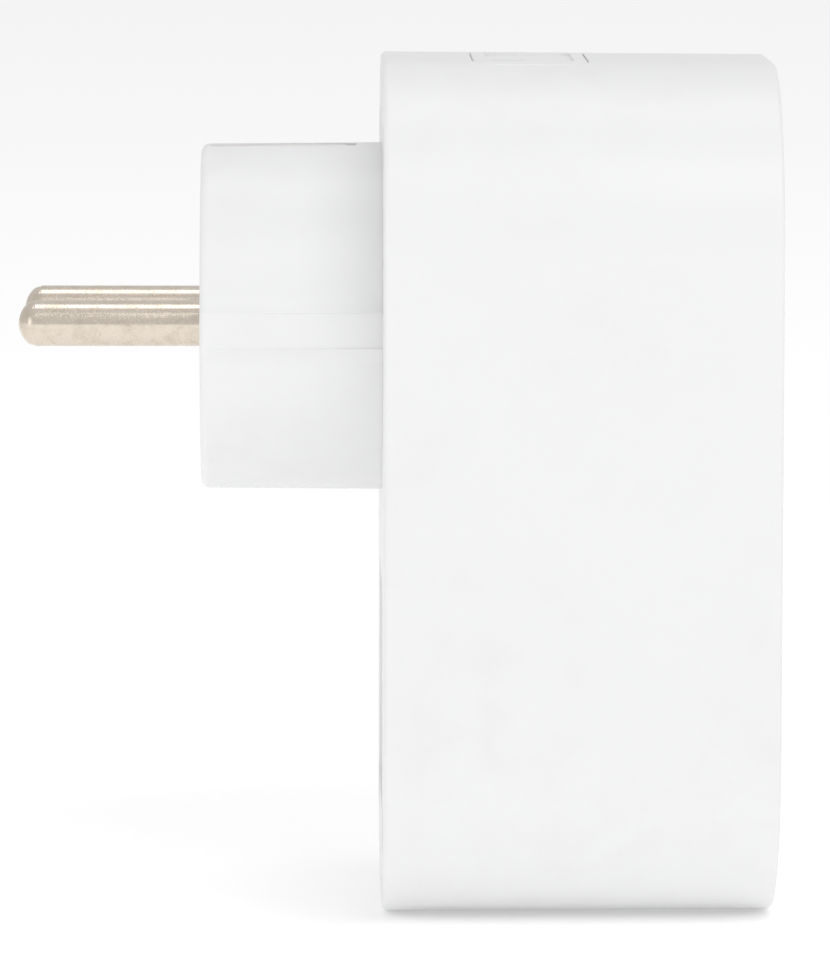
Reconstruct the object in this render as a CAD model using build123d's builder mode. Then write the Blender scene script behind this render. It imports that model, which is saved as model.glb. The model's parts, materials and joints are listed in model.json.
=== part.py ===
from build123d import *
import os
from math import asin, atan2, cos, degrees, radians, sin, tan

# Smart plug with a two-pin plug face behind, a recessed through socket in front and a power button on top.
# +X points out of the front socket, the pins point along -X, and +Z is up. The origin is the middle of the
# footprint, with the lower end of the housing at Z = 0. All sizes are in millimetres.

# Overall sizes
body_width = 56.0
body_height = 89.5
body_depth = 41.0
corner_radius = 19.0
draft_angle = 0.34
wall = 2.0
pin_length = 19.0
boss_length = 19.0
rear_x = -1.5
front_x = rear_x + body_depth
face_x = rear_x - boss_length
tip_x = face_x - pin_length
axis_z = 62.0

# Plug face
boss_radius = 18.35
boss_wall = 2.0
boss_cavity_radius = boss_radius - boss_wall
groove_width = 3.7
groove_floor = 18.9
lip_start_height = 3.9
lip_slope = 45.0
earth_recess_width = 4.6
earth_recess_depth = 1.1
pin_radius = 2.4
pin_dome = 1.75
pin_root_radius = 2.65
pin_spacing = 19.0
pin_y = pin_spacing / 2
running_gap = 0.05
cut_margin = 1.0

# Socket
well_radius = 19.75
well_depth = 17.5
insert_radius = 21.8
insert_floor = 2.0
socket_hole_radius = 2.7
floor_x = front_x - well_depth
floor_back_x = floor_x - insert_floor

# Power button
button_x = 14.0
button_length = 23.6
button_width = 12.0
button_radius = 3.0
button_gap = 0.1
button_travel = 0.5
flange_margin = 1.1
button_edge_radius = 0.3
opening_edge_radius = 0.15

# Housing screws
screw_y = 17.5
screw_heights = (9.5, 80.8)
screw_head_radius = 2.3
screw_radius = 1.3
screw_clearance = 0.15
post_radius = 2.8
post_setback = 2.0
cover_back_x = rear_x + wall

# Circuit boards
board_x = 3.0
board_thickness = 1.6
board_front_x = board_x + board_thickness
board_low_z = 4.5
board_high_z = 40.5

os.makedirs("parts", exist_ok=True)


def save(piece, name):
    """Label a finished piece and write it to its own file."""
    piece.part.label = name
    export_step(piece.part, f"parts/{name}.step")


def across(x):
    """Plane across the plug at depth x: local X is the width, local Y is the height."""
    return Plane.YZ.offset(x)


def lengthwise(y):
    """Plane along the plug at width y: local X is the depth, local Y is the height."""
    return Plane(origin=(0, y, 0), x_dir=(1, 0, 0), z_dir=(0, -1, 0))


def housing_form(inset, start_x, end_x):
    """The housing's drafted round-cornered block between two depths, inset evenly from the outside."""
    shrink = inset + (start_x - rear_x) * tan(radians(draft_angle))
    with BuildPart() as form:
        with BuildSketch(across(start_x)):
            with Locations((0, body_height / 2)):
                RectangleRounded(body_width - 2 * shrink, body_height - 2 * shrink, corner_radius - shrink)
        extrude(amount=end_x - start_x, taper=draft_angle)
    return form.part


def screw_points():
    """Width and height of the four housing screws."""
    return [(side * screw_y, height) for side in (-1, 1) for height in screw_heights]


def lipped_round(radius, margin):
    """The boss's outline: a circle with a lipped flat on each side, enlarged evenly by a margin."""
    full_radius = radius + margin
    half_flat = groove_width / 2 + margin
    start_height = lip_start_height + margin
    start_angle = asin(start_height / full_radius)
    hollow_radius = (start_height - half_flat) / (sin(radians(lip_slope)) - sin(start_angle))
    start_width = full_radius * cos(start_angle)
    with BuildSketch() as outline:
        with Locations((0, axis_z)):
            Circle(full_radius)
        with BuildLine():
            lip = JernArc((start_width, axis_z + start_height), (sin(start_angle), -cos(start_angle)),
                          hollow_radius, lip_slope - degrees(start_angle))
            Polyline(lip @ 1, ((lip @ 1).X, axis_z), (0, axis_z), (0, axis_z + start_height), lip @ 0)
        upper_lip = make_face()
        mirror(upper_lip, about=Plane(origin=(0, axis_z, 0), z_dir=(0, 1, 0)))
        mirror(about=Plane.YZ)
    return outline.sketch


# ---------------------------------------------------------------- front housing
# A deep cup, open at the rear, with a round opening for the socket and a window for the button.
outer_form = housing_form(0, rear_x, front_x)
inner_form = housing_form(wall, rear_x, front_x - wall)
front_fillet = 0.5
rear_fillet = 0.6
post_start_x = cover_back_x + post_setback
post_hole_radius = 1.4
post_hole_depth = 15.0

with BuildPart() as front_housing:
    add(outer_form)
    fillet(front_housing.faces().sort_by(Axis.X)[-1].edges(), radius=front_fillet)
    fillet(front_housing.faces().sort_by(Axis.X)[0].edges(), radius=rear_fillet)
    add(inner_form, mode=Mode.SUBTRACT)
    with BuildSketch(across(front_x - wall)):
        with Locations(*screw_points()):
            Circle(post_radius)
    extrude(amount=post_start_x - (front_x - wall))
    with BuildSketch(across(post_start_x)):
        with Locations(*screw_points()):
            Circle(post_hole_radius)
    extrude(amount=post_hole_depth, mode=Mode.SUBTRACT)
    with BuildSketch(across(front_x - wall - cut_margin)):
        with Locations((0, axis_z)):
            Circle(insert_radius + running_gap)
    extrude(amount=wall + 2 * cut_margin, mode=Mode.SUBTRACT)
    with BuildSketch(Plane.XY.offset(body_height - wall - cut_margin)):
        with Locations((button_x, 0)):
            RectangleRounded(button_width + 2 * button_gap, button_length + 2 * button_gap,
                             button_radius + button_gap)
    extrude(amount=wall + 2 * cut_margin, mode=Mode.SUBTRACT)
    # Soft edge round the button's opening.
    opening_edges = front_housing.edges().filter_by(
        lambda edge: edge.center().Z > body_height - wall / 2
        and abs(edge.center().X - button_x) < button_width / 2 + 2 * button_gap
        and abs(edge.center().Y) < button_length / 2 + 2 * button_gap)
    fillet(opening_edges, radius=opening_edge_radius)
save(front_housing, "front_housing")

# ---------------------------------------------------------------- rear cover
# A flat plate set into the rear of the housing, with an opening that follows the plug boss.
cover_gap = 0.08
head_depth = 2.2
head_gap = 0.25
pad_radius = 3.5
panel_width = 32.0
panel_height = 24.0
panel_z = 23.0
panel_depth = 0.3
panel_corner_radius = 2.0
cover_form = housing_form(wall + cover_gap, rear_x, cover_back_x)
boss_section = lipped_round(boss_radius, 0)
boss_opening = lipped_round(boss_radius, running_gap)

with BuildPart() as rear_cover:
    add(cover_form)
    # Screw pads with their head recesses.
    with BuildSketch(across(cover_back_x)):
        with Locations(*screw_points()):
            Circle(pad_radius)
    extrude(amount=post_start_x - cover_back_x - running_gap)
    with BuildSketch(across(rear_x)):
        with Locations(*screw_points()):
            Circle(screw_head_radius + head_gap)
    extrude(amount=head_depth, mode=Mode.SUBTRACT)
    with BuildSketch(across(rear_x)):
        with Locations(*screw_points()):
            Circle(screw_radius + screw_clearance)
    extrude(amount=post_start_x - rear_x, mode=Mode.SUBTRACT)
    # Opening for the boss, and a shallow blank panel below it.
    with BuildSketch(across(rear_x)):
        add(boss_opening)
    extrude(amount=wall, mode=Mode.SUBTRACT)
    with BuildSketch(across(rear_x)):
        with Locations((0, panel_z)):
            RectangleRounded(panel_width, panel_height, panel_corner_radius)
    extrude(amount=panel_depth, mode=Mode.SUBTRACT)
save(rear_cover, "rear_cover")

# ---------------------------------------------------------------- plug boss
# The round plug face: a deep cup held behind the rear cover by its flange. On both sides a shallow guide
# groove runs between two raised lips, and an earth recess runs above and below.
recess_bottom = boss_radius - earth_recess_depth
rib_wall = 1.6
face_wall = 2.2
slot_x = rear_x - 3.4
slot_length = 1.8
slot_shift = 0.2
slot_side_gap = 0.2
strip_width = 4.2
strip_thickness = 0.8
boss_fillet = 0.8
boss_draft = 0.4
boss_flange_radius = 20.0
boss_flange_thickness = 1.2
flange_end_x = cover_back_x + running_gap + boss_flange_thickness
face_section = lipped_round(boss_radius - boss_length * tan(radians(boss_draft)), 0)

with BuildPart() as plug_boss:
    with BuildSketch(across(rear_x)):
        add(boss_section)
    with BuildSketch(across(face_x)):
        add(face_section)
    loft(ruled=True)
    fillet(plug_boss.faces().sort_by(Axis.X)[0].edges(), radius=boss_fillet)
    with BuildSketch(across(rear_x)):
        add(boss_section)
    extrude(amount=flange_end_x - rear_x)
    # The guide grooves run the length of the boss, and the earth recesses end at their slots.
    with BuildSketch(across(face_x)):
        with Locations((-groove_floor - cut_margin, axis_z), (groove_floor + cut_margin, axis_z)):
            Rectangle(2 * cut_margin, groove_width)
    extrude(amount=boss_length, mode=Mode.SUBTRACT)
    with BuildSketch(across(face_x)):
        with Locations((0, axis_z - boss_radius), (0, axis_z + boss_radius)):
            Rectangle(earth_recess_width, 2 * earth_recess_depth)
    extrude(amount=slot_x - slot_shift + slot_length / 2 - face_x, mode=Mode.SUBTRACT)
    with BuildSketch(across(flange_end_x)):
        with Locations((0, axis_z)):
            Circle(boss_flange_radius)
    extrude(amount=-boss_flange_thickness)
    # The cavity keeps a wall behind each earth recess.
    with BuildSketch(across(face_x + face_wall)):
        with Locations((0, axis_z)):
            Circle(boss_cavity_radius)
        with Locations((0, axis_z - boss_radius), (0, axis_z + boss_radius)):
            Rectangle(earth_recess_width + 2 * rib_wall, 2 * (earth_recess_depth + rib_wall), mode=Mode.SUBTRACT)
    extrude(amount=flange_end_x - face_x - face_wall, mode=Mode.SUBTRACT)
    # Pin holes, and a slot through the floor of each earth recess.
    with BuildSketch(across(face_x)):
        with Locations((-pin_y, axis_z), (pin_y, axis_z)):
            Circle(pin_root_radius + running_gap)
    extrude(amount=face_wall, mode=Mode.SUBTRACT)
    with BuildSketch(Plane.XY.offset(axis_z - boss_radius)):
        with Locations((slot_x - slot_shift, 0)):
            Rectangle(slot_length, strip_width + 2 * slot_side_gap)
    extrude(amount=2 * boss_radius, mode=Mode.SUBTRACT)
save(plug_boss, "plug_boss")

# ---------------------------------------------------------------- plug pins
# A domed round pin, a slightly thicker root in the boss face, a collar and a riveted tail.
seat_x = face_x + face_wall
collar_setback = 4.0
collar_x = seat_x + collar_setback
collar_length = 2.0
collar_radius = 3.6
tail_x = collar_x + collar_length
tail_radius = 1.7
tail_end_x = -7.6
pin_edge_radius = 1.2
nose_step = 0.1
nose_length = pin_dome - nose_step
nose_rim_radius = pin_radius - nose_step


def plug_pin(y):
    """One plug pin at width y, with a nose of two tangent arcs and a fine bevel where the shaft begins."""
    edge_rise = nose_rim_radius - pin_edge_radius
    nose_radius = (nose_length**2 + edge_rise**2 - pin_edge_radius**2) / (2 * (nose_length - pin_edge_radius))
    nose_angle = degrees(atan2(edge_rise, nose_radius - nose_length))
    with BuildPart() as pin:
        with BuildSketch(Plane(origin=(0, y, axis_z), x_dir=(1, 0, 0), z_dir=(0, -1, 0))):
            with BuildLine():
                nose = JernArc((tip_x, 0), (0, 1), nose_radius, -nose_angle)
                edge = JernArc(nose @ 1, nose % 1, pin_edge_radius, nose_angle - 90)
                Polyline(edge @ 1, (tip_x + pin_dome, pin_radius), (face_x, pin_radius),
                         (face_x, pin_root_radius), (collar_x, pin_root_radius), (collar_x, collar_radius),
                         (tail_x, collar_radius), (tail_x, tail_radius), (tail_end_x, tail_radius),
                         (tail_end_x, 0), (tip_x, 0))
            make_face()
        revolve(axis=Axis((0, y, axis_z), (1, 0, 0)))
    return pin


line_pin = plug_pin(-pin_y)
save(line_pin, "line_pin")
neutral_pin = plug_pin(pin_y)
save(neutral_pin, "neutral_pin")

# ---------------------------------------------------------------- pin carrier
# The insulating block inside the boss that grips both pin roots.
carrier_disc_radius = 14.0
carrier_pocket_width = 8.0
carrier_pocket_height = 16.0
carrier_pocket_radius = 1.5
carrier_pocket_depth = 2.0

with BuildPart() as pin_carrier:
    with BuildSketch(across(seat_x)):
        with Locations((0, axis_z)):
            Circle(carrier_disc_radius)
        with Locations((-pin_y, axis_z), (pin_y, axis_z)):
            Circle(pin_root_radius + running_gap, mode=Mode.SUBTRACT)
    extrude(amount=tail_x - seat_x)
    with BuildSketch(across(collar_x)):
        with Locations((-pin_y, axis_z), (pin_y, axis_z)):
            Circle(collar_radius + running_gap)
    extrude(amount=collar_length, mode=Mode.SUBTRACT)
    with BuildSketch(across(tail_x - carrier_pocket_depth)):
        with Locations((0, axis_z)):
            RectangleRounded(carrier_pocket_width, carrier_pocket_height, carrier_pocket_radius)
    extrude(amount=carrier_pocket_depth, mode=Mode.SUBTRACT)
save(pin_carrier, "pin_carrier")


# ---------------------------------------------------------------- bent metal strips
def bent_strip(y, width, thickness, bend_radius, points):
    """A flat strip bent through the given depth and height points, centred on width y."""
    with BuildPart() as strip:
        with BuildSketch(lengthwise(y)):
            with BuildLine() as route:
                FilletPolyline(*points, radius=bend_radius)
            trace(route.line, line_width=thickness)
        extrude(amount=width / 2, both=True)
    return strip.part


# Side earth contacts of the plug: one strip above and one below, each hooked through the boss wall.
contact_height = recess_bottom + running_gap + strip_thickness / 2
contact_setback = 1.2
contact_start_x = face_x + contact_setback
contact_tail_height = 12.6
contact_bend = 0.8

for side, name in ((1, "earth_contact_top"), (-1, "earth_contact_bottom")):
    contact_form = bent_strip(0, strip_width, strip_thickness, contact_bend, [
        (contact_start_x, axis_z + side * contact_height),
        (slot_x, axis_z + side * contact_height),
        (slot_x, axis_z + side * contact_tail_height)])
    with BuildPart() as earth_contact:
        add(contact_form)
    save(earth_contact, name)

# Earth strap: joins both plug earth contacts to the two spring noses inside the socket.
strap_web_x = slot_x + strip_thickness + running_gap
strap_inner_height = 14.4
strap_outer_height = 20.35
strap_step_x = 2.5
strap_bend = 1.0
nose_start_x = floor_x + 1.5
nose_peak_x = floor_x + 9.0
nose_end_x = floor_x + 14.5
nose_peak_height = 17.6
nose_end_height = 19.9
strap_points = [(nose_end_x, nose_end_height), (nose_peak_x, nose_peak_height), (nose_start_x, strap_outer_height),
                (strap_step_x, strap_outer_height), (strap_step_x, strap_inner_height),
                (strap_web_x, strap_inner_height)]
upper_points = [(x, axis_z + height) for x, height in strap_points]
lower_points = [(x, axis_z - height) for x, height in reversed(strap_points)]
strap_form = bent_strip(0, strip_width, strip_thickness, strap_bend, upper_points + lower_points)

with BuildPart() as earth_strap:
    add(strap_form)
save(earth_strap, "earth_strap")

# Input strips: from the pin tails out of the boss and down to the back of the main board.
input_back_x = tail_end_x - strip_thickness
input_drop_z = axis_z - 8.5
input_board_x = board_x - strip_thickness / 2 - running_gap
input_top_z = axis_z + 3.0
input_low_z = board_high_z - 4.0
input_bend = 1.2

for side, name in ((-1, "line_input_strip"), (1, "neutral_input_strip")):
    strip_form = bent_strip(side * pin_y, strip_width, strip_thickness, input_bend, [
        (input_back_x, input_top_z), (input_back_x, input_drop_z),
        (input_board_x, input_drop_z), (input_board_x, input_low_z)])
    with BuildPart() as input_strip:
        add(strip_form)
        with BuildSketch(across(input_back_x - cut_margin)):
            with Locations((side * pin_y, axis_z)):
                Circle(tail_radius + running_gap)
        extrude(amount=2 * cut_margin, mode=Mode.SUBTRACT)
    save(input_strip, name)

# ---------------------------------------------------------------- socket
# The round recessed well with its two guide ribs, pin holes and earth slots.
rim_setback = 0.3
rim_x = front_x - rim_setback
insert_flange_radius = 22.6
insert_flange_depth = 1.4
guide_rib_width = 3.4
guide_rib_height = 0.6
rim_fillet = 0.5
earth_slot_width = 5.2
earth_slot_inner = 19.3
earth_slot_outer = 21.1
earth_slot_end_x = nose_end_x + 1.4
carrier_front_x = floor_back_x - 3.0
carrier_screw_height = 14.0
carrier_points = [(0, axis_z - carrier_screw_height), (0, axis_z + carrier_screw_height)]
carrier_post_radius = 2.2
carrier_screw_radius = 1.0
carrier_hole_depth = 4.0

with BuildPart() as socket_insert:
    with BuildSketch(across(floor_back_x)):
        with Locations((0, axis_z)):
            Circle(insert_radius)
    extrude(amount=rim_x - floor_back_x)
    with BuildSketch(across(front_x - wall - insert_flange_depth - running_gap)):
        with Locations((0, axis_z)):
            Circle(insert_flange_radius)
    extrude(amount=insert_flange_depth)
    with BuildSketch(across(floor_x)):
        with Locations((0, axis_z)):
            Circle(well_radius)
        with Locations((-well_radius, axis_z), (well_radius, axis_z)):
            Rectangle(2 * guide_rib_height, guide_rib_width, mode=Mode.SUBTRACT)
    extrude(amount=well_depth, mode=Mode.SUBTRACT)
    # Rounded rim.
    rim_edges = socket_insert.faces().sort_by(Axis.X)[-1].outer_wire().edges()
    fillet(rim_edges, radius=rim_fillet)
    # Posts behind the floor carry the contact carrier.
    with BuildSketch(across(floor_back_x)):
        with Locations(*carrier_points):
            Circle(carrier_post_radius)
    extrude(amount=carrier_front_x + running_gap - floor_back_x)
    with BuildSketch(across(carrier_front_x)):
        with Locations(*carrier_points):
            Circle(carrier_screw_radius + running_gap)
    extrude(amount=carrier_hole_depth, mode=Mode.SUBTRACT)
    # Pin holes.
    with BuildSketch(across(floor_back_x)):
        with Locations((-pin_y, axis_z), (pin_y, axis_z)):
            Circle(socket_hole_radius)
    extrude(amount=insert_floor, mode=Mode.SUBTRACT)
    # Slots for the earth spring noses.
    with BuildSketch(across(floor_back_x)):
        for side in (-1, 1):
            with Locations((0, axis_z + side * (earth_slot_inner + earth_slot_outer) / 2)):
                Rectangle(earth_slot_width, earth_slot_outer - earth_slot_inner)
    extrude(amount=earth_slot_end_x - floor_back_x, mode=Mode.SUBTRACT)
save(socket_insert, "socket_insert")

# ---------------------------------------------------------------- contact carrier
# Holds the two spring clips and the shutter's pivot behind the socket floor.
carrier_radius = 18.5
carrier_depth = 8.0
carrier_back_x = carrier_front_x - carrier_depth
clip_pocket_radius = 4.1
pivot_radius = 1.5
pivot_end_gap = 0.2
pivot_end_x = floor_back_x - pivot_end_gap
spring_pocket_radius = 3.1
spring_pocket_depth = 1.9
button_board_z = 82.95
column_y = 8.0
column_size = 3.0
column_z = (axis_z + button_board_z) / 2

with BuildPart() as contact_carrier:
    with BuildSketch(across(carrier_back_x)):
        with Locations((0, axis_z)):
            Circle(carrier_radius)
        with Locations((-column_y, column_z), (column_y, column_z)):
            Rectangle(column_size, button_board_z - axis_z)
        with Locations((-pin_y, axis_z), (pin_y, axis_z)):
            Circle(clip_pocket_radius, mode=Mode.SUBTRACT)
        with Locations(*carrier_points):
            Circle(carrier_screw_radius + 2 * running_gap, mode=Mode.SUBTRACT)
    extrude(amount=carrier_depth)
    with BuildSketch(across(carrier_front_x - spring_pocket_depth)):
        with Locations((0, axis_z)):
            Circle(spring_pocket_radius)
    extrude(amount=spring_pocket_depth, mode=Mode.SUBTRACT)
    with BuildSketch(across(carrier_front_x - spring_pocket_depth)):
        with Locations((0, axis_z)):
            Circle(pivot_radius)
    extrude(amount=pivot_end_x - (carrier_front_x - spring_pocket_depth))
save(contact_carrier, "contact_carrier")

# Spring clips: a split sleeve round the pin's path, with a tail bent down to the main board.
clip_inner_radius = 2.47
clip_thickness = 0.6
clip_length = 7.0
clip_slit = 1.4
clip_bend = 1.0
clip_front_x = carrier_front_x - 0.5
clip_tail_x = carrier_back_x - 2.0
clip_board_x = board_front_x + clip_thickness / 2 + running_gap
clip_step_high_z = board_high_z + 3.0
clip_step_low_z = board_high_z + 1.0
clip_low_z = board_high_z - 3.0
clip_base = clip_inner_radius + clip_thickness / 2

for side, name in ((-1, "line_clip"), (1, "neutral_clip")):
    tail_form = bent_strip(side * pin_y, strip_width, clip_thickness, clip_bend, [
        (clip_front_x, axis_z - clip_base), (clip_tail_x, axis_z - clip_base),
        (clip_tail_x, clip_step_high_z), (clip_board_x, clip_step_low_z), (clip_board_x, clip_low_z)])
    with BuildPart() as clip:
        add(tail_form)
        with BuildSketch(across(clip_front_x)):
            with Locations((side * pin_y, axis_z)):
                Circle(clip_inner_radius + clip_thickness)
                Circle(clip_inner_radius, mode=Mode.SUBTRACT)
            with Locations((side * pin_y, axis_z + clip_base)):
                Rectangle(clip_slit, 3 * clip_thickness, mode=Mode.SUBTRACT)
        extrude(amount=-clip_length)
        with BuildSketch(across(clip_front_x)):
            with Locations((side * pin_y, axis_z)):
                Circle(clip_inner_radius)
        extrude(amount=-clip_length, mode=Mode.SUBTRACT)
    save(clip, name)

# ---------------------------------------------------------------- socket shutter
# A two-armed shutter that covers both pin holes and turns about the middle pivot against a coil spring.
shutter_thickness = 2.3
shutter_gap = 0.35
shutter_x = carrier_front_x + shutter_gap
shutter_hub_radius = 3.4
shutter_cap_radius = 3.3
shutter_arm_width = 3.0

with BuildPart() as shutter:
    with BuildSketch(across(shutter_x)):
        with Locations((0, axis_z)):
            Rectangle(2 * pin_y, shutter_arm_width)
            Circle(shutter_hub_radius)
        with Locations((-pin_y, axis_z), (pin_y, axis_z)):
            Circle(shutter_cap_radius)
        with Locations((0, axis_z)):
            Circle(pivot_radius + running_gap, mode=Mode.SUBTRACT)
    extrude(amount=shutter_thickness)
save(shutter, "shutter")

spring_wire_radius = 0.2
spring_coil_radius = 2.3
spring_turn_pitch = 0.5
spring_height = 1.25
spring_rest_gap = 0.3
spring_start_x = carrier_front_x - spring_pocket_depth + spring_rest_gap

with BuildPart() as shutter_spring:
    with BuildLine() as coil:
        Helix(pitch=spring_turn_pitch, height=spring_height, radius=spring_coil_radius,
              center=(spring_start_x, 0, axis_z), direction=(1, 0, 0))
    with BuildSketch(Plane(origin=coil.line @ 0, z_dir=coil.line % 0)):
        Circle(spring_wire_radius)
    sweep(path=coil.line, is_frenet=True)
save(shutter_spring, "shutter_spring")

# ---------------------------------------------------------------- main board
board_margin = 1.0
post_clearance = 0.3
board_form = housing_form(wall + board_margin, board_x, board_front_x)

with BuildPart() as main_board:
    add(board_form)
    with BuildSketch(across(board_x)):
        with Locations((0, board_high_z / 2)):
            Rectangle(body_width, board_high_z)
    extrude(amount=board_thickness, mode=Mode.INTERSECT)
    with BuildSketch(across(board_x)):
        with Locations((-screw_y, screw_heights[0]), (screw_y, screw_heights[0])):
            Circle(post_radius + post_clearance)
    extrude(amount=board_thickness, mode=Mode.SUBTRACT)
save(main_board, "main_board")


def board_block(place, size, depth, edge):
    """A rounded component block on the main board: place and size are (width, height) pairs."""
    with BuildPart() as block:
        with BuildSketch(across(board_front_x)):
            with Locations(place):
                RectangleRounded(*size, edge)
        extrude(amount=depth)
        fillet(block.faces().sort_by(Axis.X)[-1].edges(), radius=0.8 * edge)
    return block


relay_place = (-10.7, 27.4)
relay_size = (15.5, 19.0)
relay_depth = 15.5
relay_edge = 0.8
relay = board_block(relay_place, relay_size, relay_depth, relay_edge)
save(relay, "relay")

filter_place = (12.5, 19.0)
filter_size = (18.0, 7.0)
filter_depth = 13.5
filter_edge = 0.7
filter_capacitor = board_block(filter_place, filter_size, filter_depth, filter_edge)
save(filter_capacitor, "filter_capacitor")

# Supply transformer: a wound bobbin between the two halves of its core.
transformer_place = (8.2, 30.5)
core_size = (15.0, 12.5)
core_edge = 0.8
core_depth = 3.0
winding_size = (12.5, 10.5)
winding_edge = 2.5
winding_depth = 7.0
winding_x = board_front_x + core_depth

with BuildPart() as transformer:
    with BuildSketch(across(board_front_x), across(winding_x + winding_depth)):
        with Locations(transformer_place):
            RectangleRounded(*core_size, core_edge)
    extrude(amount=core_depth)
    with BuildSketch(across(winding_x)):
        with Locations(transformer_place):
            RectangleRounded(*winding_size, winding_edge)
    extrude(amount=winding_depth)
save(transformer, "transformer")

# Two supply capacitors standing on the board.
bulk_radius = 4.0
bulk_height = 14.0
bulk_edge = 0.7
bulk_points = [(-9.5, 11.5), (0, 11.5)]

with BuildPart() as bulk_capacitors:
    with BuildSketch(across(board_front_x)):
        with Locations(*bulk_points):
            Circle(bulk_radius)
    extrude(amount=bulk_height)
    fillet(bulk_capacitors.faces().group_by(Axis.X)[-1].edges(), radius=bulk_edge)
save(bulk_capacitors, "bulk_capacitors")

# Fusible resistor lying along the board, with its two leads.
resistor_point = (board_front_x + 2.6, 7.0)
resistor_radius = 2.0
resistor_low_z = 6.5
resistor_length = 7.5
lead_radius = 0.4
lead_length = 1.5

with BuildPart() as fuse_resistor:
    with BuildSketch(Plane.XY.offset(resistor_low_z)):
        with Locations(resistor_point):
            Circle(resistor_radius)
    extrude(amount=resistor_length)
    with BuildSketch(Plane.XY.offset(resistor_low_z - lead_length)):
        with Locations(resistor_point):
            Circle(lead_radius)
    extrude(amount=resistor_length + 2 * lead_length)
save(fuse_resistor, "fuse_resistor")

# Surge-suppressing disc standing on edge on its two flat leads.
disc_y = 12.5
disc_point = (board_front_x + 5.4, 8.8)
disc_radius = 4.2
disc_thickness = 3.4
disc_lead_length = 2.4
disc_lead_width = 0.8
disc_lead_spread = 1.8

with BuildPart() as varistor:
    with BuildSketch(lengthwise(disc_y)):
        with Locations(disc_point):
            Circle(disc_radius)
        for side in (-1, 1):
            with Locations((board_front_x + disc_lead_length / 2, disc_point[1] + side * disc_lead_spread)):
                Rectangle(disc_lead_length, disc_lead_width)
    extrude(amount=disc_thickness / 2, both=True)
save(varistor, "varistor")

# Radio module: a small upright board with a metal shield over its chip.
radio_y = 21.0
radio_z = 31.5
radio_thickness = 0.8
radio_size = (22.0, 16.0)
shield_x = board_front_x + 9.5
shield_size = (15.0, 12.5)
shield_corner = 0.8
shield_depth = 2.0
shield_edge = 0.4

with BuildPart() as radio_module:
    with BuildSketch(lengthwise(radio_y)):
        with Locations((board_front_x + radio_size[0] / 2, radio_z)):
            Rectangle(*radio_size)
    extrude(amount=radio_thickness / 2, both=True)
save(radio_module, "radio_module")

with BuildPart() as radio_shield:
    with BuildSketch(lengthwise(radio_y - radio_thickness / 2)):
        with Locations((shield_x, radio_z)):
            RectangleRounded(*shield_size, shield_corner)
    extrude(amount=shield_depth)
    fillet(radio_shield.faces().sort_by(Axis.Y)[0].edges(), radius=shield_edge)
save(radio_shield, "radio_shield")

# ---------------------------------------------------------------- button board and its cable
button_board_back_x = 8.2
button_board_front_x = 19.6
button_board_half = 13.5
button_board_corner = 0.8
button_board_thickness = 0.9
button_board_top_z = button_board_z + button_board_thickness
cable_thickness = 1.0
cable_start_x = 8.6
cable_width = 3.2
cable_y = -21.5
cable_low_z = 40.0
cable_turn_z = 71.5
cable_end_y = -12.6
cable_end_z = 79.2
cable_bend = 2.0
header_z = 36.6
header_size = (4.0, 6.6)
header_depth = 8.0
header_edge = 0.4

with BuildPart() as button_board:
    with BuildSketch(Plane.XY.offset(button_board_z)):
        with Locations(((button_board_back_x + button_board_front_x) / 2, 0)):
            RectangleRounded(button_board_front_x - button_board_back_x, 2 * button_board_half,
                             button_board_corner)
    extrude(amount=button_board_thickness)
save(button_board, "button_board")

ribbon_header = board_block((cable_y, header_z), header_size, header_depth, header_edge)
save(ribbon_header, "ribbon_header")

with BuildPart() as ribbon_cable:
    with BuildSketch(across(cable_start_x)):
        with BuildLine() as cable_route:
            FilletPolyline((cable_y, cable_low_z), (cable_y, cable_turn_z), (cable_end_y, cable_end_z),
                           (cable_end_y, button_board_z), radius=cable_bend)
        trace(cable_route.line, line_width=cable_thickness)
    extrude(amount=cable_width)
save(ribbon_cable, "ribbon_cable")

# ---------------------------------------------------------------- switch under the button
switch_x = 16.7
switch_size = 5.2
switch_corner = 0.4
switch_height = 1.3
switch_bore_radius = 1.75
switch_bore_depth = 1.1
plunger_spare = 0.15
plunger_top_z = button_board_top_z + switch_height + button_travel + plunger_spare
plunger_length = 1.2
plunger_edge = 0.2

with BuildPart() as switch_body:
    with BuildSketch(Plane.XY.offset(button_board_top_z)):
        with Locations((switch_x, 0)):
            RectangleRounded(switch_size, switch_size, switch_corner)
    extrude(amount=switch_height)
    with BuildSketch(Plane.XY.offset(button_board_top_z + switch_height)):
        with Locations((switch_x, 0)):
            Circle(switch_bore_radius)
    extrude(amount=-switch_bore_depth, mode=Mode.SUBTRACT)
save(switch_body, "switch_body")

with BuildPart() as switch_plunger:
    with BuildSketch(Plane.XY.offset(plunger_top_z)):
        with Locations((switch_x, 0)):
            Circle(switch_bore_radius - running_gap)
    extrude(amount=-plunger_length)
    fillet(switch_plunger.faces().sort_by(Axis.Z)[-1].edges(), radius=plunger_edge)
save(switch_plunger, "switch_plunger")

light_x = 11.9
led_size = (1.6, 0.8)
led_height = 0.6

with BuildPart() as status_led:
    with BuildSketch(Plane.XY.offset(button_board_top_z)):
        with Locations((light_x, 0)):
            Rectangle(*led_size)
    extrude(amount=led_height)
save(status_led, "status_led")

# ---------------------------------------------------------------- power button
# A flush cap with a shallow dished panel, a retaining flange under the wall and a small light window.
flange_z = plunger_top_z + running_gap
flange_thickness = 0.75
dish_width = 9.2
dish_length = 19.4
dish_corner = 2.0
dish_z = 89.05
light_length = 3.7
light_width = 1.8
light_fit = 0.02
light_foot = 0.5
light_low_z = flange_z - light_foot
light_setback = 0.12

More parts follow.
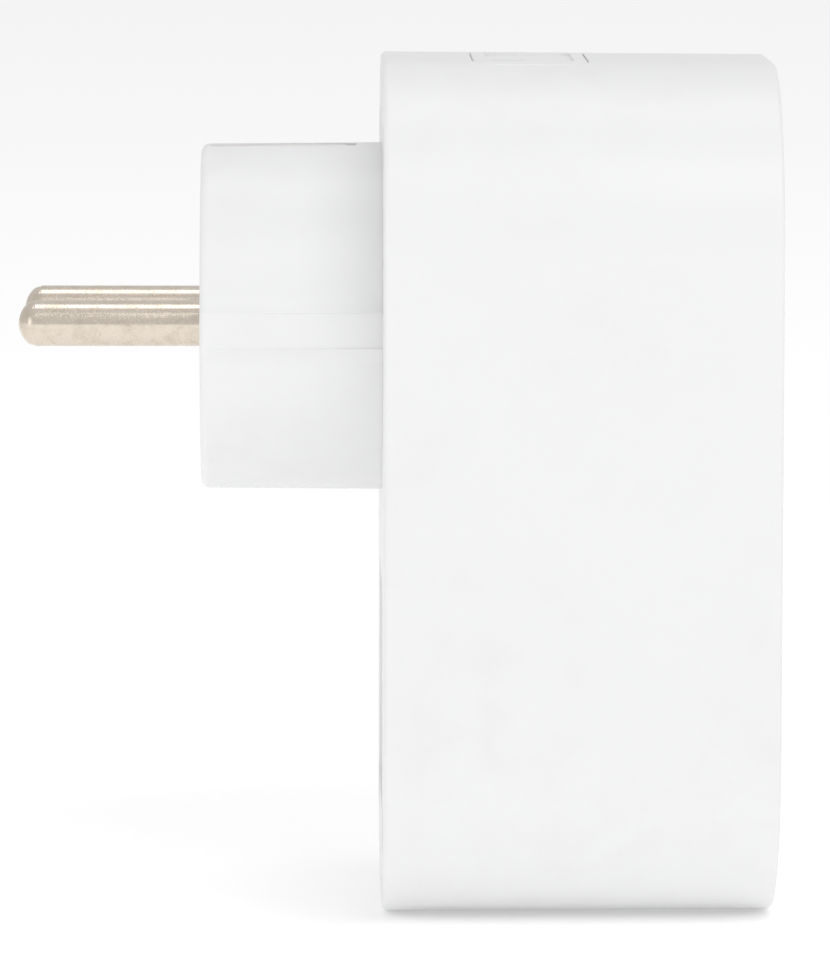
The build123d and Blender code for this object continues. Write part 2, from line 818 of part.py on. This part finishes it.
with BuildPart() as power_button:
    with BuildSketch(Plane.XY.offset(flange_z)):
        with Locations((button_x, 0)):
            RectangleRounded(button_width, button_length, button_radius)
    extrude(amount=body_height - flange_z)
    add(outer_form, mode=Mode.INTERSECT)
    fillet(power_button.faces().sort_by(Axis.Z)[-1].outer_wire().edges(), radius=button_edge_radius)
    with BuildSketch(Plane.XY.offset(flange_z)):
        with Locations((button_x, 0)):
            RectangleRounded(button_width + 2 * flange_margin, button_length + 2 * flange_margin,
                             button_radius + flange_margin)
    extrude(amount=flange_thickness)
    with BuildSketch(Plane.XY.offset(dish_z)):
        with Locations((button_x, 0)):
            RectangleRounded(dish_width, dish_length, dish_corner)
    extrude(amount=cut_margin, mode=Mode.SUBTRACT)
    with BuildSketch(Plane.XY.offset(flange_z)):
        with Locations((light_x, 0)):
            SlotOverall(light_length, light_width)
    extrude(amount=body_height - flange_z, mode=Mode.SUBTRACT)
save(power_button, "power_button")

with BuildPart() as light_pipe:
    with BuildSketch(Plane.XY.offset(light_low_z)):
        with Locations((light_x, 0)):
            SlotOverall(light_length - 2 * light_fit, light_width - 2 * light_fit)
    extrude(amount=dish_z - light_setback - light_low_z)
save(light_pipe, "light_pipe")

# ---------------------------------------------------------------- screws
head_x = rear_x + head_depth
head_height = 1.6
head_edge = 0.3
housing_screw_length = 12.0
carrier_head_radius = 2.0
carrier_head_height = 1.4
carrier_screw_length = 10.5
cross_length = 2.6
cross_width = 0.6
cross_depth = 0.8
carrier_cross_depth = 0.7

with BuildPart() as housing_screws:
    with BuildSketch(across(head_x)):
        with Locations(*screw_points()):
            Circle(screw_head_radius)
    extrude(amount=-head_height)
    fillet(housing_screws.faces().group_by(Axis.X)[0].edges(), radius=head_edge)
    with BuildSketch(across(head_x)):
        with Locations(*screw_points()):
            Circle(screw_radius)
    extrude(amount=housing_screw_length)
    with BuildSketch(across(head_x - head_height)):
        with Locations(*screw_points()):
            Rectangle(cross_length, cross_width)
            Rectangle(cross_width, cross_length)
    extrude(amount=cross_depth, mode=Mode.SUBTRACT)
save(housing_screws, "housing_screws")

with BuildPart() as carrier_screws:
    with BuildSketch(across(carrier_back_x)):
        with Locations(*carrier_points):
            Circle(carrier_head_radius)
    extrude(amount=-carrier_head_height)
    with BuildSketch(across(carrier_back_x)):
        with Locations(*carrier_points):
            Circle(carrier_screw_radius)
    extrude(amount=carrier_screw_length)
    with BuildSketch(across(carrier_back_x - carrier_head_height)):
        with Locations(*carrier_points):
            Rectangle(cross_length, cross_width)
            Rectangle(cross_width, cross_length)
    extrude(amount=carrier_cross_depth, mode=Mode.SUBTRACT)
save(carrier_screws, "carrier_screws")
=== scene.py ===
import json
import math

import bpy
from mathutils import Matrix, Vector


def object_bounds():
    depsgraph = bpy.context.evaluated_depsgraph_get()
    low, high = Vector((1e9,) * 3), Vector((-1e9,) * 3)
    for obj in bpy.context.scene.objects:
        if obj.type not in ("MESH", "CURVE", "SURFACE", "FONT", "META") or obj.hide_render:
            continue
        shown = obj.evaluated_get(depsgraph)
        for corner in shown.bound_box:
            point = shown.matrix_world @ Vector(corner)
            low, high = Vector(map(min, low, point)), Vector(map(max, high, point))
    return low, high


MM = 0.001
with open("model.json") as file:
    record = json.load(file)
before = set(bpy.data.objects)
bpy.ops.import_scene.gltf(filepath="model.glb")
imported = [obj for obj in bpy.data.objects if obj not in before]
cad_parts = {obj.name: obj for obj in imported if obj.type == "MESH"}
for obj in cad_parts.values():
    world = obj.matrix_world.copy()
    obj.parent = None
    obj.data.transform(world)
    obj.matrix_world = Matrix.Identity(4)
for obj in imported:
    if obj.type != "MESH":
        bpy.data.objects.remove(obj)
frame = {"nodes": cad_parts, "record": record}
cad_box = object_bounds()
nodes = frame["nodes"]


# ---------------------------------------------------------------- node helpers
class Maker:
    """A new material and the few calls that its node tree needs."""

    def __init__(self, name):
        self.material = bpy.data.materials.new(name)
        self.material.use_nodes = True
        self.tree = self.material.node_tree
        self.shader = self.tree.nodes["Principled BSDF"]
        self.place = self.add("ShaderNodeTexCoord").outputs["Object"]

    def add(self, kind, **inputs):
        node = self.tree.nodes.new(kind)
        for key, value in inputs.items():
            self.feed(node.inputs[key.replace("_", " ")], value)
        return node

    def feed(self, socket, value):
        if isinstance(value, bpy.types.NodeSocket):
            self.tree.links.new(value, socket)
        else:
            socket.default_value = value

    def set(self, **inputs):
        for key, value in inputs.items():
            self.feed(self.shader.inputs[key.replace("_", " ")], value)

    def stretched(self, scale, turn=(0, 0, 0)):
        """Coordinates drawn out along one direction, optionally turned."""
        node = self.add("ShaderNodeMapping", Vector=self.place, Scale=scale, Rotation=turn)
        return node.outputs["Vector"]

    def noise(self, size, detail=2.0, rough=0.5, vector=None, warp=0.0):
        """Noise whose features are about `size` millimetres across."""
        node = self.add("ShaderNodeTexNoise", Scale=1 / (size * MM), Detail=detail, Roughness=rough,
                        Distortion=warp, Vector=vector or self.place)
        return node.outputs["Fac"]

    def ramp(self, value, low, high, out_low=0.0, out_high=1.0):
        """A smooth change from out_low to out_high while value goes from low to high."""
        node = self.add("ShaderNodeMapRange", Value=value)
        node.interpolation_type = "SMOOTHSTEP"
        for index, number in ((1, low), (2, high), (3, out_low), (4, out_high)):
            node.inputs[index].default_value = number
        return node.outputs["Result"]

    def math(self, kind, first, second=0.0):
        node = self.add("ShaderNodeMath")
        node.operation = kind
        self.feed(node.inputs[0], first)
        self.feed(node.inputs[1], second)
        return node.outputs[0]

    def mix(self, share, first, second):
        node = self.add("ShaderNodeMix")
        node.data_type = "RGBA"
        self.feed(node.inputs["Factor"], share)
        self.feed(node.inputs[6], first)
        self.feed(node.inputs[7], second)
        return node.outputs[2]

    def bump(self, height, depth, below=None):
        """Bump of `depth` millimetres, on top of another bump's normal."""
        node = self.add("ShaderNodeBump", Height=height, Distance=depth * MM, Strength=1.0)
        if below is not None:
            self.feed(node.inputs["Normal"], below)
        return node.outputs["Normal"]


def grey(value):
    return (value, value, value, 1.0)


# ---------------------------------------------------------------- materials
# Bump depths are in millimetres.
PLASTIC_GRAIN = 0.0012
PLASTIC_SINK = 0.012
SCUFF_DEPTH = 0.0004
SCUFF_ROUGHNESS = 0.05
DRAW_LINE_DEPTH = 0.0022
PIT_DEPTH = 0.0035
PIT_ROUGHNESS = 0.2
FLECK_ROUGHNESS = 0.17
ROLLING_LINE_DEPTH = 0.003
STRIP_SHADE = 0.72
PART_GRAIN_DEPTH = 0.004
PART_SHADE = 0.82
WINDOW_GRAIN_DEPTH = 0.001


def moulded_white(name, tone=(0.86, 0.862, 0.865), rough=0.33):
    """Satin white moulded plastic: fine spark-eroded grain, faint flow mottling and hairline scuffs."""
    m = Maker(name)
    flow = m.noise(26.0, detail=3.0, rough=0.55, warp=0.6)
    cloud = m.noise(5.5, detail=4.0, rough=0.6)
    fine = m.noise(0.22, detail=3.0, rough=0.6)
    dull = tuple(c * 0.965 for c in tone[:2]) + (tone[2] * 0.955, 1.0)
    bright = tuple(tone) + (1.0,)
    stain = m.math("MULTIPLY", m.ramp(flow, 0.35, 0.7), m.ramp(cloud, 0.3, 0.75))
    m.set(Base_Color=m.mix(stain, bright, dull))
    hairs = m.noise(0.35, detail=2.0, vector=m.stretched((0.05, 1.0, 1.0), (0.2, 0.35, 0.1)))
    scuffs = m.math("MULTIPLY", m.ramp(hairs, 0.66, 0.74), m.ramp(cloud, 0.5, 0.7))
    roughness = m.math("ADD", m.ramp(fine, 0.2, 0.8, rough - 0.04, rough + 0.05),
                       m.math("MULTIPLY", m.ramp(flow, 0.3, 0.7), 0.05))
    m.set(Roughness=m.math("ADD", roughness, m.math("MULTIPLY", scuffs, SCUFF_ROUGHNESS)))
    sink = m.bump(m.noise(18.0, detail=1.0), PLASTIC_SINK)
    grain_bump = m.bump(fine, PLASTIC_GRAIN, sink)
    m.set(Normal=m.bump(m.math("MULTIPLY", scuffs, -1.0), SCUFF_DEPTH, grain_bump))
    m.set(IOR=1.49, Subsurface_Weight=0.08, Subsurface_Scale=1.2 * MM)
    m.shader.inputs["Subsurface Radius"].default_value = (1.0, 0.95, 0.9)
    return m.material


def plated_pin(name):
    """Drawn, nickel-plated pin: draw lines, streaks, cloudy tarnish, small pits and dull flecks."""
    m = Maker(name)
    lines = m.noise(0.16, detail=4.0, rough=0.65, vector=m.stretched((0.02, 1.0, 1.0)))
    streaks = m.noise(0.5, detail=3.0, rough=0.6, vector=m.stretched((0.08, 1.0, 1.0)))
    cloud = m.noise(1.6, detail=5.0, rough=0.65, warp=0.8)
    speck = m.noise(0.28, detail=3.0, rough=0.7)
    pits = m.math("MULTIPLY", m.ramp(speck, 0.60, 0.72), m.ramp(cloud, 0.42, 0.62))
    tarnish = m.ramp(cloud, 0.40, 0.68)
    clean = (0.74, 0.66, 0.565, 1.0)
    warm = (0.60, 0.52, 0.425, 1.0)
    dark = (0.30, 0.25, 0.20, 1.0)
    worn = m.mix(m.math("MULTIPLY", tarnish, 0.55), clean, warm)
    m.set(Base_Color=m.mix(m.math("MULTIPLY", pits, 0.65), worn, dark), Metallic=1.0)
    rough = m.math("ADD", m.ramp(streaks, 0.3, 0.7, 0.11, 0.18), m.math("MULTIPLY", tarnish, 0.06))
    fleck_noise = m.noise(0.2, detail=3.0, rough=0.7)
    flecks = m.math("MULTIPLY", m.ramp(fleck_noise, 0.46, 0.64), FLECK_ROUGHNESS)
    rough = m.math("ADD", rough, flecks)
    m.set(Roughness=m.math("ADD", rough, m.math("MULTIPLY", pits, PIT_ROUGHNESS)))
    drawn = m.bump(lines, DRAW_LINE_DEPTH)
    m.set(Normal=m.bump(m.math("MULTIPLY", pits, -1.0), PIT_DEPTH, drawn))
    return m.material


def strip_metal(name, tone, rough=0.28):
    """Stamped and plated strip with fine rolling lines."""
    m = Maker(name)
    lines = m.noise(0.2, detail=3.0, vector=m.stretched((0.06, 1.0, 1.0)))
    cloud = m.noise(2.2, detail=4.0, rough=0.6)
    dark = tuple(c * STRIP_SHADE for c in tone) + (1.0,)
    m.set(Base_Color=m.mix(m.ramp(cloud, 0.4, 0.7, 0.0, 0.6), tuple(tone) + (1.0,), dark), Metallic=1.0)
    m.set(Roughness=m.ramp(lines, 0.3, 0.7, rough - 0.06, rough + 0.1))
    m.set(Normal=m.bump(lines, ROLLING_LINE_DEPTH))
    return m.material


def plain_part(name, tone, rough=0.45, grain=0.25):
    """Small inner part: slight colour drift, its own grain and uneven gloss."""
    m = Maker(name)
    drift = m.noise(3.0, detail=4.0, rough=0.6)
    fine = m.noise(grain, detail=3.0, rough=0.6)
    dark = tuple(c * PART_SHADE for c in tone) + (1.0,)
    m.set(Base_Color=m.mix(m.ramp(drift, 0.35, 0.7), tuple(tone) + (1.0,), dark))
    m.set(Roughness=m.ramp(fine, 0.25, 0.75, rough - 0.06, rough + 0.1))
    m.set(Normal=m.bump(fine, PART_GRAIN_DEPTH))
    return m.material


def light_window_material(name):
    """Milky light window: lets some light through and has a fine moulded haze."""
    m = Maker(name)
    haze = m.noise(0.6, detail=3.0)
    m.set(Base_Color=m.mix(m.ramp(haze, 0.3, 0.7), (0.90, 0.92, 0.93, 1.0), (0.82, 0.85, 0.87, 1.0)))
    m.set(Roughness=m.ramp(haze, 0.3, 0.7, 0.12, 0.22), Subsurface_Weight=0.4, Subsurface_Scale=1.0 * MM)
    m.set(Normal=m.bump(m.noise(0.3), WINDOW_GRAIN_DEPTH))
    return m.material


looks = {
    "housing_white": moulded_white("housing_white_plastic"),
    "button_white": moulded_white("button_white_plastic", tone=(0.87, 0.872, 0.875), rough=0.28),
    "socket_white": moulded_white("socket_white_plastic", tone=(0.85, 0.852, 0.853), rough=0.36),
    "pin_nickel": plated_pin("pin_nickel_plating"),
    "contact_metal": strip_metal("contact_strip_plating", (0.93, 0.91, 0.88)),
    "light_window": light_window_material("light_window_plastic"),
    "carrier_plastic": plain_part("carrier_moulding", (0.62, 0.61, 0.57)),
    "shutter_plastic": plain_part("shutter_moulding", (0.74, 0.74, 0.73), rough=0.38),
    "spring_steel": strip_metal("spring_wire", (0.5, 0.5, 0.5), rough=0.3),
    "screw_steel": strip_metal("screw_plating", (0.55, 0.55, 0.56), rough=0.32),
    "board_green": plain_part("board_laminate", (0.03, 0.16, 0.08), rough=0.35, grain=0.6),
    "dark_case": plain_part("dark_moulding", (0.02, 0.02, 0.022), rough=0.4),
    "ferrite": plain_part("fired_ferrite", (0.05, 0.048, 0.046), rough=0.55),
    "sleeve_black": plain_part("shrink_sleeve", (0.015, 0.015, 0.02), rough=0.3),
    "capacitor_yellow": plain_part("capacitor_case", (0.62, 0.44, 0.06), rough=0.35),
    "resistor_coat": plain_part("resistor_lacquer", (0.16, 0.24, 0.22), rough=0.4),
    "varistor_blue": plain_part("varistor_coat", (0.03, 0.07, 0.28), rough=0.25),
    "shield_tin": strip_metal("shield_sheet", (0.66, 0.67, 0.68), rough=0.25),
    "header_white": plain_part("header_moulding", (0.70, 0.69, 0.65)),
    "cable_grey": plain_part("ribbon_insulation", (0.2, 0.21, 0.22), rough=0.5),
}
for entry in frame["record"]["subparts"]:
    surface = nodes[entry["node"]].data
    surface.materials.clear()
    surface.materials.append(looks[entry["material_slot"]])


# ---------------------------------------------------------------- studio
def area_light(name, place, aim, width, height, power):
    """A soft box at `place`, turned towards `aim`, in metres and watts."""
    data = bpy.data.lights.new(name, "AREA")
    data.shape = "RECTANGLE"
    data.size = width
    data.size_y = height
    data.energy = power
    lamp = bpy.data.objects.new(name, data)
    lamp.location = place
    lamp.rotation_euler = (Vector(aim) - Vector(place)).to_track_quat("-Z", "Y").to_euler()
    bpy.context.scene.collection.objects.link(lamp)


plug_middle = (cad_box[0] + cad_box[1]) / 2
area_light("key_softbox", (0.4, -0.85, 0.95), plug_middle, 0.7, 0.7, 3.0)
area_light("fill_softbox", (-0.9, -0.9, 0.3), plug_middle, 0.8, 0.8, 1.2)
area_light("top_softbox", (0.05, 0.15, 1.25), plug_middle, 0.6, 0.5, 1.2)

# An even pale room, the same for every kind of ray.
ROOM_LEVEL = 0.72
room = bpy.data.worlds.new("studio")
room.use_nodes = True
backdrop = room.node_tree.nodes["Background"]
backdrop.inputs["Color"].default_value = grey(ROOM_LEVEL)
backdrop.inputs["Strength"].default_value = 1.0
bpy.context.scene.world = room

# A plain sheet of pale paper with a slight even glow.
FLOOR_HALF = 6.0
PAPER_PALE = 0.97
PAPER_SHADE = 0.955
PAPER_ROUGHNESS = 0.9
PAPER_GLOW = 0.2
floor_mesh = bpy.data.meshes.new("floor")
corner_signs = ((-1, -1), (1, -1), (1, 1), (-1, 1))
corners = [(x * FLOOR_HALF, y * FLOOR_HALF, 0.0) for x, y in corner_signs]
floor_mesh.from_pydata(corners, [], [(0, 1, 2, 3)])
floor = bpy.data.objects.new("floor", floor_mesh)
bpy.context.scene.collection.objects.link(floor)
paper = Maker("floor_paper")
fibre = paper.noise(1.5, detail=4.0, rough=0.6)
paper.set(Base_Color=paper.mix(paper.ramp(fibre, 0.3, 0.7), grey(PAPER_PALE), grey(PAPER_SHADE)))
paper.set(Roughness=PAPER_ROUGHNESS)
paper.set(Emission_Color=grey(1.0), Emission_Strength=PAPER_GLOW, Specular_IOR_Level=0.0)
floor_mesh.materials.append(paper.material)

# ---------------------------------------------------------------- camera
# The place is millimetres turned into metres; angles are in radians.
CAMERA_PLACE = Vector((-9.0, -787.0, 129.4)) * MM
CAMERA_PITCH = 0.1088
CAMERA_YAW = 0.0141
CAMERA_ROLL = 0.0018
SENSOR_WIDTH = 36.0
FOCAL_LENGTH = 274.0
camera_data = bpy.data.cameras.new("camera")
camera_data.sensor_width = SENSOR_WIDTH
camera_data.lens = FOCAL_LENGTH
camera = bpy.data.objects.new("camera", camera_data)
turn = (Matrix.Rotation(-CAMERA_YAW, 3, "Z") @ Matrix.Rotation(math.pi / 2 - CAMERA_PITCH, 3, "X")
        @ Matrix.Rotation(CAMERA_ROLL, 3, "Z"))
camera.rotation_euler = turn.to_euler()
camera.location = CAMERA_PLACE
bpy.context.scene.collection.objects.link(camera)
bpy.context.scene.camera = camera
bpy.context.scene.view_settings.view_transform = "Standard"
